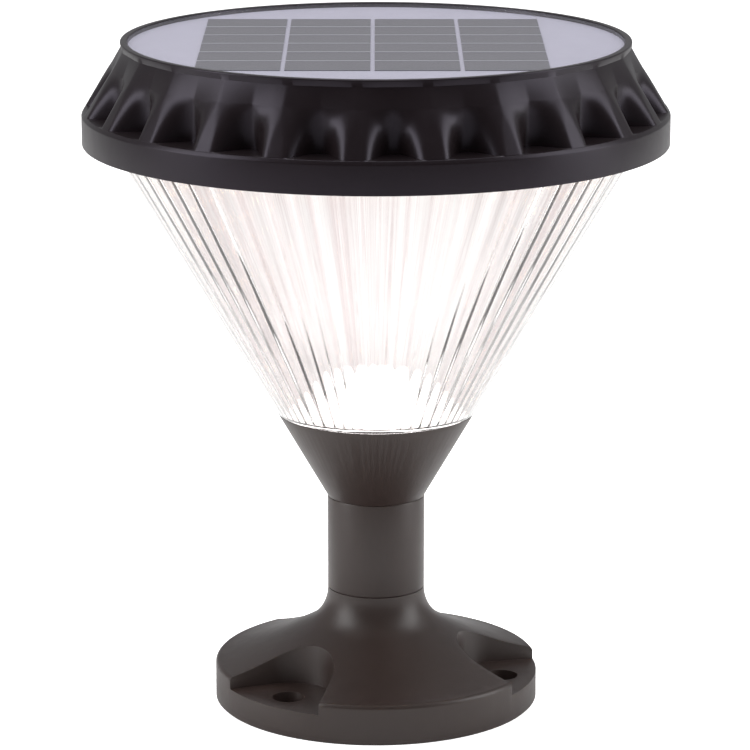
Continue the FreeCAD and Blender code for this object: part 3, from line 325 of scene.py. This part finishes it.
def crown_finish(colour):
    """Moulded dark plastic: satin gloss with a faint swirl in its sheen."""
    sheen = (0.86, 0.8, 1.0, 1.0)
    finish = Finish("crown_black", colour, 0.32, Specular_IOR_Level=0.25, Specular_Tint=sheen)
    finish.mottle(finish.noise(60), colour, scaled(colour, 1.35))
    finish.spread(finish.noise(180, 4), 0.28, 0.38, "Roughness")
    finish.bump(finish.noise(1400, 2), 0.02 * MM, 0.35)
    return finish.material


def bronze_finish(colour):
    """Powder paint on metal: warm brown with a fine orange-peel skin."""
    finish = Finish("bronze_paint", colour, 0.4)
    finish.mottle(finish.noise(45), scaled(colour, 0.88), scaled(colour, 1.16))
    finish.spread(finish.noise(220, 4), 0.36, 0.46, "Roughness")
    finish.bump(finish.noise(1800, 3), 0.03 * MM, 0.5)
    return finish.material


CLEAR = (1.0, 0.99, 0.985)
# Painted shade: the streak colour stands in for the dark insides seen bent through the lens ribs.
REFRACTED_SHADE_STREAK = (0.82, 0.75, 0.75)
REFRACTED_SHADE_NOISE = (0.42, 0.66)
GLOW_COOL = (1.0, 0.95, 0.94, 1.0)
GLOW_WARM = (1.0, 0.42, 0.12, 1.0)
GLOW_DEPTHS = (16 * MM, 1 * MM)


def lens_finish():
    """Clear acrylic with painted streaks of refracted shade down the cone, and the lamps' light caught in it
    as a painted glow, warmest at the top.
    """
    finish = Finish("clear_acrylic", CLEAR, 0.04, IOR=1.45, Transmission_Weight=1.0)
    place = finish.add("ShaderNodeTexCoord")
    axes = finish.add("ShaderNodeSeparateXYZ")
    finish.link(place.outputs["Object"], axes.inputs["Vector"])
    flat = finish.add("ShaderNodeCombineXYZ")
    finish.link(axes.outputs["X"], flat.inputs["X"])
    finish.link(axes.outputs["Y"], flat.inputs["Y"])
    heading = finish.add("ShaderNodeVectorMath", operation="NORMALIZE")
    finish.link(flat.outputs["Vector"], heading.inputs["Vector"])
    # Painted shade: noise round the axis lays the darker refracted streaks down the cone.
    refracted_shade = finish.add("ShaderNodeTexNoise", Scale=26.0, Detail=4.0)
    finish.link(heading.outputs["Vector"], refracted_shade.inputs["Vector"])
    ramp = finish.add("ShaderNodeMapRange")
    ramp.inputs["From Min"].default_value = REFRACTED_SHADE_NOISE[0]
    ramp.inputs["From Max"].default_value = REFRACTED_SHADE_NOISE[1]
    finish.link(refracted_shade.outputs["Fac"], ramp.inputs["Value"])
    finish.mottle(ramp.outputs["Result"], CLEAR, REFRACTED_SHADE_STREAK)
    rise = finish.add("ShaderNodeMapRange", interpolation_type="SMOOTHSTEP")
    rise.inputs["From Min"].default_value = LENS_HIGH.z - GLOW_DEPTHS[0]
    rise.inputs["From Max"].default_value = LENS_HIGH.z - GLOW_DEPTHS[1]
    finish.link(axes.outputs["Z"], rise.inputs["Value"])
    warmth = finish.add("ShaderNodeMix", data_type="RGBA")
    warmth.inputs["A"].default_value = GLOW_COOL
    warmth.inputs["B"].default_value = GLOW_WARM
    finish.link(rise.outputs["Result"], warmth.inputs["Factor"])
    finish.link(warmth.outputs["Result"], finish.shader.inputs["Emission Color"])
    finish.set("Emission Strength", 0.02)
    return finish.material


def pane_finish(name, painted_sheen):
    """A clear pane over the cells: nearly see-through, with a real mirror sheen and a faint pale film of
    painted sheen over the cells.
    """
    # Painted sheen: the pale colour at a low alpha lays a milky haze of reflected light over the cells.
    finish = Finish(name, painted_sheen, 0.08, Alpha=0.05)
    finish.mottle(finish.noise(25), scaled(painted_sheen, 0.96), painted_sheen)
    return finish.material


def plain_finish(name, colour, roughness=0.45, grain=300, **sockets):
    """A moulded, plated or printed finish with a little variation in tone and sheen."""
    finish = Finish(name, colour, roughness, **sockets)
    finish.mottle(finish.noise(grain), scaled(colour, 0.92), scaled(colour, 1.06))
    finish.spread(finish.noise(grain * 2, 4), roughness * 0.85, min(1.0, roughness * 1.15), "Roughness")
    return finish.material


def glowing_finish(name, colour, glow, strength):
    """A lit surface: its own colour with light added."""
    finish = Finish(name, colour, 0.4)
    finish.mottle(finish.noise(200), scaled(colour, 0.97), colour)
    finish.set("Emission Color", (*glow, 1.0))
    finish.set("Emission Strength", strength)
    return finish.material


def cell_finish(colour):
    """Silicon with fine printed fingers across each strip."""
    finish = Finish("solar_cell", colour, 0.35)
    place = finish.add("ShaderNodeTexCoord")
    fingers = finish.add("ShaderNodeTexWave", bands_direction="Y", Scale=160.0, Distortion=0.0)
    finish.link(place.outputs["Object"], fingers.inputs["Vector"])
    finish.mottle(fingers.outputs["Fac"], colour, scaled(colour, 1.5))
    return finish.material


# ---------------------------------------------------------------- cap


def smooth_least(first, second, width):
    """The lesser of two values, rounded where they meet."""
    blend = max(width - abs(first - second), 0.0) / width
    return min(first, second) - blend * blend * width / 4


def smooth_most(first, second, width):
    """The greater of two values, rounded where they meet."""
    return -smooth_least(-first, -second, width)


class CrownForm:
    """The fluted outside of the cap as a radius for every azimuth and height."""

    RIM_INSET = 12.7 * MM
    RIM_HEIGHT = 2.27 * MM
    RIM_WALL = 2.3 * MM
    RIM_ROUND = 0.5 * MM
    DECK_DEPTH = 3.75 * MM
    DECK_THICKNESS = 2.0 * MM
    BEVEL = 0.7 * MM
    BAND_EDGE_ROUND = 0.25 * MM

    VALLEY_INSET = 11.0 * MM
    VALLEY_LEAN = 0.198
    FACET = 3.9 * MM
    FLANK = 5.4 * MM
    FLANK_SLOPE_HIGH = 0.3755

    SHOULDER_RISE = 5.0 * MM
    STEP_RISE = 3.8 * MM
    BORE_LOW_INSET = 7.9 * MM
    VALLEY_WALL = 2.2 * MM
    BORE_STEP = 0.2 * MM

    FACING_RADIUS = 6.3 * MM
    FACING_REACH = 88.3 * MM

    def __init__(self, sizes):
        self.radius = CAP_HIGH.x
        self.low = CAP_LOW.z
        self.top = CAP_HIGH.z
        self.pitch = math.tau / sizes.flute_count
        self.first = math.radians(90) + sizes.flute_turn
        self.band_top = self.low + sizes.band_height
        self.bevel_low = self.band_top - sizes.bevel_height
        self.valley_top = self.band_top + sizes.valley_height
        self.arch_top = self.top - self.RIM_HEIGHT
        self.rim = self.radius - self.RIM_INSET
        self.recess = self.rim - self.RIM_WALL
        self.deck = self.top - self.DECK_DEPTH
        self.crest_low = self.radius - self.BEVEL
        self.round = sizes.ridge_round
        self.bore = self.radius - sizes.band_wall
        self.shoulder = self.low + self.SHOULDER_RISE
        self.button_height = (self.band_top + self.valley_top) / 2

    def crest(self, height):
        """Radius of the flutes' crests, which rise to the rim in one line."""
        share = (height - self.band_top) / (self.arch_top - self.band_top)
        return self.crest_low + (self.rim - self.crest_low) * share

    def valley(self, height):
        """Radius of the narrow valleys between the flutes."""
        return self.radius - self.VALLEY_INSET - self.VALLEY_LEAN * max(height - self.valley_top, 0.0)

    def faced(self, radius, angle, height):
        """Radius after the flat that is cut round the power button."""
        across = math.hypot(radius * math.sin(angle), height - self.button_height)
        if math.cos(angle) > 0 and across < self.FACING_RADIUS:
            return min(radius, self.FACING_REACH / math.cos(angle))
        return radius

    def outside(self, height):
        """A function from azimuth to the fluted radius at one height."""
        crest = self.crest(height)
        valley = self.valley(height)
        slope = self.FLANK_SLOPE_HIGH if height > self.valley_top else (crest - valley) / self.FLANK

        def radius(azimuth):
            angle = (azimuth - self.first) % self.pitch
            angle = min(angle, self.pitch - angle)
            offset = math.sin(angle) * (crest + valley) / 2
            flank = crest - slope * (offset - self.FACET)
            fluted = smooth_least(crest, smooth_most(valley, flank, self.round), self.round)
            return self.faced(fluted, azimuth - self.first, height)

        return radius


CROWN_COLUMNS = 960
FLUTE_ROWS = 96
FLUTE_FOOT = 0.1 * MM
EDGE_LEAD = 1.0 * MM
EDGE_SKIPPED = 2


def rim_profile(form):
    """From the edge of the deck, over the rim, to the top of the flutes."""
    corners = [
        (form.recess, form.deck),
        (form.recess, form.top),
        (form.rim, form.top),
        (form.rim, form.arch_top + form.RIM_ROUND),
    ]
    return rounded_between(corners, form.RIM_ROUND)


def band_profile(form):
    """Down the band and in under it. Its first points are skipped, where the flutes' feet already are."""
    corners = [
        (form.crest_low - EDGE_LEAD, form.band_top),
        (form.crest_low, form.band_top),
        (form.radius, form.bevel_low),
        (form.radius, form.low),
        (form.bore, form.low),
        (form.bore, form.shoulder),
    ]
    return rounded_between(corners, form.BAND_EDGE_ROUND, EDGE_SKIPPED)


def inside_profile(form):
    """The stepped inside of the shell, from the shoulder up to the underside of the deck."""
    step = form.shoulder + form.STEP_RISE
    bore_low = form.radius - form.BORE_LOW_INSET
    bore_middle = form.radius - form.VALLEY_INSET - form.VALLEY_WALL
    bore_high = form.recess - form.BORE_STEP
    return [
        (form.bore, form.shoulder),
        (bore_low, form.shoulder),
        (bore_low, step),
        (bore_middle, step),
        (bore_middle, form.valley_top),
        (bore_high, form.deck - form.DECK_THICKNESS),
    ]


def crown_rows(form, columns):
    """Rows of the cap from the middle of the deck, over the rim and the flutes, to the shell's inside."""
    rows = [[(0, 0, form.deck)], ring(form.recess - form.RIM_ROUND, form.deck, columns)]
    for radius, height in rim_profile(form):
        rows.append(ring(radius, height, columns))
    foot = form.band_top + FLUTE_FOOT
    for number in range(FLUTE_ROWS + 1):
        height = form.arch_top + (foot - form.arch_top) * number / FLUTE_ROWS
        rows.append(ring(form.outside(height), height, columns))
    for radius, height in band_profile(form) + inside_profile(form):
        rows.append(ring(radius, height, columns))
    rows.append([(0, 0, form.deck - form.DECK_THICKNESS)])
    return rows


BOSS_BORE = 3.8 * MM
BOSS_GAP = 0.1 * MM
BOSS_SEAT = 84.4 * MM
BOSS_LENGTH = 4.4 * MM
BOSS_ROUND = 0.4 * MM


def boss_mesh(form):
    """The collar round the power button, along the middle of the flute at the back."""
    outer = form.FACING_RADIUS - BOSS_GAP
    section = [(BOSS_BORE, 0), (outer, 0), (outer, BOSS_LENGTH), (BOSS_BORE, BOSS_LENGTH)]
    heading = Vector(polar(1, form.first, 0))
    place = heading * BOSS_SEAT + Vector((0, 0, form.button_height))
    return rod_mesh("button_boss", rounded(section, BOSS_ROUND), place, heading)


class PILLAR_OT_crown(bpy.types.Operator):
    """Models the fluted cap with its rim, band and the boss round the power button"""

    bl_idname = "pillar.crown"
    bl_label = "Fluted cap"

    def execute(self, context):
        form = CrownForm(context.scene.light_sizes)
        mesh = skin("cap_crown", crown_rows(form, CROWN_COLUMNS))
        finish = crown_finish(context.scene.light_colours.crown)
        add_piece("cap_crown", mesh, "head", finish, ["cap_shell"])
        add_piece("button_boss", boss_mesh(form), "head", finish)
        return {"FINISHED"}


# ---------------------------------------------------------------- lens and dome


class PILLAR_OT_lens(bpy.types.Operator):
    """Models the clear cone with ribs down its inside"""

    bl_idname = "pillar.lens"
    bl_label = "Ribbed lens"

    COLUMNS_PER_RIB = 12
    SLOPE = 0.5853
    WALL = 2.6 * MM
    FLOOR_THICKNESS = 2.0 * MM
    FLANGE_THICKNESS = 2.0 * MM
    HOLE_RADIUS = 12.0 * MM
    FOOT_INSET = 0.3 * MM
    OUTSIDE_SHARES = (0.003, 0.25, 0.5, 0.75, 1.0)
    INSIDE_SHARES = (1.0, 0.75, 0.5, 0.25, 0.0)

    def ribbed(self, base, sizes):
        """A function from azimuth to the inside radius; the ribs drift a little from an even spacing."""

        def radius(azimuth):
            drift = 0.9 * math.sin(azimuth * 7) + 0.7 * math.sin(azimuth * 11 + 1)
            wave = 0.5 + 0.5 * math.cos(azimuth * sizes.rib_count + drift)
            return base + sizes.rib_depth * wave

        return radius

    def execute(self, context):
        sizes = context.scene.light_sizes
        columns = sizes.rib_count * self.COLUMNS_PER_RIB
        low = LENS_LOW.z
        flange = LENS_HIGH.z - self.FLANGE_THICKNESS
        radius_low = COLLAR_HIGH.x
        floor = low + self.FLOOR_THICKNESS
        bore = radius_low + self.SLOPE * (floor - low) - self.WALL

        rows = [ring(self.HOLE_RADIUS, low, columns), ring(radius_low - self.FOOT_INSET, low, columns)]
        for share in self.OUTSIDE_SHARES:
            height = low + (flange - low) * share
            rows.append(ring(radius_low + self.SLOPE * (height - low), height, columns))
        rows.append(ring(LENS_HIGH.x, flange, columns))
        rows.append(ring(LENS_HIGH.x, LENS_HIGH.z, columns))
        for share in self.INSIDE_SHARES:
            height = floor + (LENS_HIGH.z - floor) * share
            base = bore + self.SLOPE * (height - floor)
            rows.append(ring(self.ribbed(base, sizes), height, columns))
        rows.append(ring(self.HOLE_RADIUS, floor, columns))
        mesh = skin("lens_cone", rows, closed=True)
        add_piece("lens_cone", mesh, "head", lens_finish(), ["lens"])
        return {"FINISHED"}


class PILLAR_OT_dome(bpy.types.Operator):
    """Models the white dome on the lens floor, lit from above"""

    bl_idname = "pillar.dome"
    bl_label = "White dome"

    WALL = 1.8 * MM
    STEPS = 24
    COLUMNS = 128

    def execute(self, context):
        radius = DOME_HIGH.x
        height = DOME_HIGH.z - DOME_LOW.z
        curve = (radius * radius + height * height) / (2 * height)
        reach = math.asin(radius / curve)
        profile = []
        for number in range(self.STEPS + 1):
            angle = reach * number / self.STEPS
            profile.append((curve * math.sin(angle), DOME_HIGH.z - curve * (1 - math.cos(angle))))
        profile.append((radius - self.WALL, DOME_LOW.z))
        profile.append((0, DOME_HIGH.z - self.WALL))
        mesh = lathe("white_dome", profile, self.COLUMNS, closed=False)
        finish = glowing_finish("dome_white", (0.92, 0.9, 0.9), (1.0, 0.99, 0.98), 1.1)
        add_piece("white_dome", mesh, "head", finish, ["reflector_dome"])
        return {"FINISHED"}


# ---------------------------------------------------------------- panel pane


class PILLAR_OT_pane(bpy.types.Operator):
    """Models the clear pane over the solar cells, just clear of their ribbons"""

    bl_idname = "pillar.pane"
    bl_label = "Panel pane"

    GAP = 0.1 * MM
    EDGE_ROUND = 0.3 * MM
    COLUMNS = 256
    # Pale colour of the pane's painted sheen, a haze of reflected light.
    PAINTED_SHEEN = (0.9, 0.9, 1.0)

    def execute(self, context):
        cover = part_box("panel_cover")[1]
        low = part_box("cell_ribbons")[1].z + self.GAP
        profile = [(0, low), (cover.x, low), (cover.x, cover.z), (0, cover.z)]
        corners = rounded_between(profile, self.EDGE_ROUND)
        mesh = lathe("panel_pane", [(0, low), *corners, (0, cover.z)], self.COLUMNS, closed=False)
        finish = pane_finish("pane", self.PAINTED_SHEEN)
        add_piece("panel_pane", mesh, "head", finish, ["panel_cover"])
        return {"FINISHED"}


# ---------------------------------------------------------------- painted pieces


class PILLAR_OT_painted(bpy.types.Operator):
    """Softens the edges of the collar, neck and foot and paints them"""

    bl_idname = "pillar.painted"
    bl_label = "Collar, neck and foot"

    PIECES = (
        ("collar_cone", "collar", "head"),
        ("neck_sleeve", "neck_tube", "neck"),
        ("foot_casting", "foot_flange", "foot"),
    )

    def execute(self, context):
        finish = bronze_finish(context.scene.light_colours.bronze)
        width = context.scene.light_sizes.edge_round
        for name, node, body in self.PIECES:
            mesh = softened_copy(node, width)
            mesh.name = name
            add_piece(name, mesh, body, finish, [node])
        return {"FINISHED"}


# ---------------------------------------------------------------- carried-over CAD nodes


class PILLAR_OT_finishes(bpy.types.Operator):
    """Gives every CAD node that stays its own finish"""

    bl_idname = "pillar.finishes"
    bl_label = "Finishes of the CAD nodes"

    def execute(self, context):
        colours = context.scene.light_colours
        finishes = {
            "cap_black": crown_finish(colours.crown),
            "bronze_paint": bronze_finish(colours.bronze),
            "clear_lens": lens_finish(),
            "dome_white": plain_finish("dome_plain", (0.85, 0.83, 0.83), 0.4),
            "seal_rubber": plain_finish("seal_rubber", (0.02, 0.019, 0.019), 0.6, 600),
            "screw_steel": plain_finish("screw_steel", (0.55, 0.55, 0.56), 0.3, 900, Metallic=1.0),
            "part_black": plain_finish("part_black", (0.018, 0.018, 0.019), 0.5, 500),
            "board_green": plain_finish("board_green", (0.02, 0.12, 0.05), 0.4, 250),
            "tray_white": glowing_finish("tray_white", (0.8, 0.8, 0.78), (1.0, 0.93, 0.82), 0.35),
            "led_board_white": glowing_finish("led_board_white", (0.82, 0.82, 0.8), (1.0, 0.9, 0.75), 0.4),
            "led_amber": glowing_finish("led_amber", (0.95, 0.7, 0.3), tuple(colours.glow), 12.0),
            "battery_wrap": plain_finish("battery_wrap", (0.05, 0.13, 0.3), 0.3, 200),
            "contact_plate": plain_finish("contact_plate", (0.6, 0.6, 0.58), 0.25, 700, Metallic=1.0),
            "socket_white": plain_finish("socket_white", (0.68, 0.67, 0.6), 0.45),
            "lead_red": plain_finish("lead_red", (0.35, 0.015, 0.012), 0.4),
            "lead_black": plain_finish("lead_black", (0.012, 0.012, 0.012), 0.4),
            "bond_grey": plain_finish("bond_grey", (0.5, 0.5, 0.5), 0.6),
            "panel_backing": plain_finish("panel_backing", tuple(colours.backing), 0.5, 120),
            "solar_cell": cell_finish(tuple(colours.cell)),
            "cell_ribbon": plain_finish("cell_ribbon", (0.5, 0.5, 0.55), 0.35, 800, Metallic=0.6),
            "panel_glass": pane_finish("panel_glass", (0.95, 0.95, 1.0)),
        }
        slots = {row["node"]: row["material_slot"] for row in frame["record"]["subparts"]}
        for name, node in frame["nodes"].items():
            finish = finishes[slots[name]]
            if not node.material_slots:
                node.data.materials.append(finish)
            for slot in node.material_slots:
                slot.material = finish
        return {"FINISHED"}


# ---------------------------------------------------------------- stage, lamps and camera


def soft_lamp(name, place, target, width, height, power):
    """A rectangular studio lamp that faces a point."""
    data = bpy.data.lights.new(name, "AREA")
    data.shape = "RECTANGLE"
    data.size = width
    data.size_y = height
    data.energy = power
    lamp = bpy.data.objects.new(name, data)
    bpy.context.scene.collection.objects.link(lamp)
    lamp.location = place
    aim = Vector(target) - Vector(place)
    lamp.rotation_euler = aim.to_track_quat("-Z", "Y").to_euler()


REFLECTED_FROM = (-0.6, 0.9)
REFLECTED_STRENGTH = (0.04, 0.45)
SOFT_STRENGTH = 0.6


def background(nodes, colour, strength):
    """One plain light of the world."""
    node = nodes.new("ShaderNodeBackground")
    node.inputs["Color"].default_value = (*colour, 1.0)
    node.inputs["Strength"].default_value = strength
    return node


def studio_world(scene):
    """White to the camera and through the lens, pale behind and dim in front in reflections, else even."""
    world = bpy.data.worlds.new("studio")
    scene.world = world
    world.use_nodes = True
    nodes = world.node_tree.nodes
    links = world.node_tree.links
    nodes.clear()
    output = nodes.new("ShaderNodeOutputWorld")
    rays = nodes.new("ShaderNodeLightPath")
    seen = nodes.new("ShaderNodeMath")
    seen.operation = "MAXIMUM"
    links.new(rays.outputs["Is Camera Ray"], seen.inputs[0])
    links.new(rays.outputs["Is Transmission Ray"], seen.inputs[1])
    white = background(nodes, (1.0, 1.0, 1.0), 1.0)
    soft = background(nodes, (1.0, 1.0, 1.0), SOFT_STRENGTH)
    mirrored = background(nodes, (0.97, 0.98, 1.0), 1.0)
    place = nodes.new("ShaderNodeTexCoord")
    axes = nodes.new("ShaderNodeSeparateXYZ")
    links.new(place.outputs["Generated"], axes.inputs["Vector"])
    ramp = nodes.new("ShaderNodeMapRange")
    ramp.inputs["From Min"].default_value = REFLECTED_FROM[0]
    ramp.inputs["From Max"].default_value = REFLECTED_FROM[1]
    ramp.inputs["To Min"].default_value = REFLECTED_STRENGTH[0]
    ramp.inputs["To Max"].default_value = REFLECTED_STRENGTH[1]
    links.new(axes.outputs["Y"], ramp.inputs["Value"])
    links.new(ramp.outputs["Result"], mirrored.inputs["Strength"])
    reflections = nodes.new("ShaderNodeMixShader")
    links.new(rays.outputs["Is Glossy Ray"], reflections.inputs["Fac"])
    links.new(soft.outputs["Background"], reflections.inputs[1])
    links.new(mirrored.outputs["Background"], reflections.inputs[2])
    mix = nodes.new("ShaderNodeMixShader")
    links.new(seen.outputs["Value"], mix.inputs["Fac"])
    links.new(reflections.outputs["Shader"], mix.inputs[1])
    links.new(white.outputs["Background"], mix.inputs[2])
    links.new(mix.outputs["Shader"], output.inputs["Surface"])


FLOOR_GLOW = 0.75


def floor_finish():
    """Pale floor: much of its brightness to the camera is its own, so the shadow stays soft."""
    finish = Finish("studio_floor", (0.93, 0.93, 0.93), 0.9)
    rays = finish.add("ShaderNodeLightPath")
    own = finish.add("ShaderNodeMath", operation="MULTIPLY")
    own.inputs[1].default_value = FLOOR_GLOW
    finish.link(rays.outputs["Is Camera Ray"], own.inputs[0])
    finish.set("Emission Color", (1, 1, 1, 1))
    finish.link(own.outputs["Value"], finish.shader.inputs["Emission Strength"])
    return finish.material


class PILLAR_OT_stage(bpy.types.Operator):
    """Lays the floor, hangs the studio lamps and sets the camera"""

    bl_idname = "pillar.stage"
    bl_label = "Stage, lamps and camera"

    CAMERA_PLACE = (-0.00033, -1.2141, 0.4085)
    CAMERA_PITCH = math.radians(90 - 13.82)
    CAMERA_LENS = 182.64
    CAMERA_SENSOR = 36
    FLOOR_SIZE = 4.0
    LAMP_TARGET = (0, 0, 0.12)
    LAMPS = (
        # name, place, width, height, power
        ("left_box", (-0.9, -0.25, 0.55), 0.5, 0.9, 7),
        ("right_box", (0.9, -0.1, 0.5), 0.5, 0.9, 6),
        ("top_box", (0.0, 0.1, 1.2), 0.9, 0.9, 8),
    )

    def execute(self, context):
        scene = context.scene
        scene.view_settings.view_transform = "Standard"
        half = self.FLOOR_SIZE / 2
        mesh = bpy.data.meshes.new("studio_floor")
        corners = [(-half, -half, 0), (half, -half, 0), (half, half, 0), (-half, half, 0)]
        mesh.from_pydata(corners, [], [(0, 1, 2, 3)])
        floor = bpy.data.objects.new("studio_floor", mesh)
        scene.collection.objects.link(floor)
        mesh.materials.append(floor_finish())

        for name, place, width, height, power in self.LAMPS:
            soft_lamp(name, place, self.LAMP_TARGET, width, height, power)
        studio_world(scene)

        data = bpy.data.cameras.new("camera")
        data.lens = self.CAMERA_LENS
        data.sensor_width = self.CAMERA_SENSOR
        camera = bpy.data.objects.new("camera", data)
        scene.collection.objects.link(camera)
        camera.location = self.CAMERA_PLACE
        camera.rotation_euler = (self.CAMERA_PITCH, 0, 0)
        scene.camera = camera
        return {"FINISHED"}


# ---------------------------------------------------------------- panel, registration and main


STEPS = (
    PILLAR_OT_finishes,
    PILLAR_OT_crown,
    PILLAR_OT_lens,
    PILLAR_OT_dome,
    PILLAR_OT_pane,
    PILLAR_OT_painted,
    PILLAR_OT_stage,
)


class PILLAR_PT_panel(bpy.types.Panel):
    """Buttons for each step of the light"""

    bl_label = "Solar Pillar Light"
    bl_idname = "PILLAR_PT_panel"
    bl_space_type = "VIEW_3D"
    bl_region_type = "UI"
    bl_category = "Pillar Light"

    def draw(self, context):
        layout = self.layout
        for step in STEPS:
            layout.operator(step.bl_idname)


CLASSES = (LightSizes, LightColours, *STEPS, PILLAR_PT_panel)


def register():
    for cls in CLASSES:
        bpy.utils.register_class(cls)
    bpy.types.Scene.light_sizes = PointerProperty(type=LightSizes)
    bpy.types.Scene.light_colours = PointerProperty(type=LightColours)


def unregister():
    del bpy.types.Scene.light_colours
    del bpy.types.Scene.light_sizes
    for cls in reversed(CLASSES):
        bpy.utils.unregister_class(cls)


def main():
    register()
    for step in STEPS:
        group, name = step.bl_idname.split(".")
        getattr(getattr(bpy.ops, group), name)()


if __name__ == "__main__":
    main()
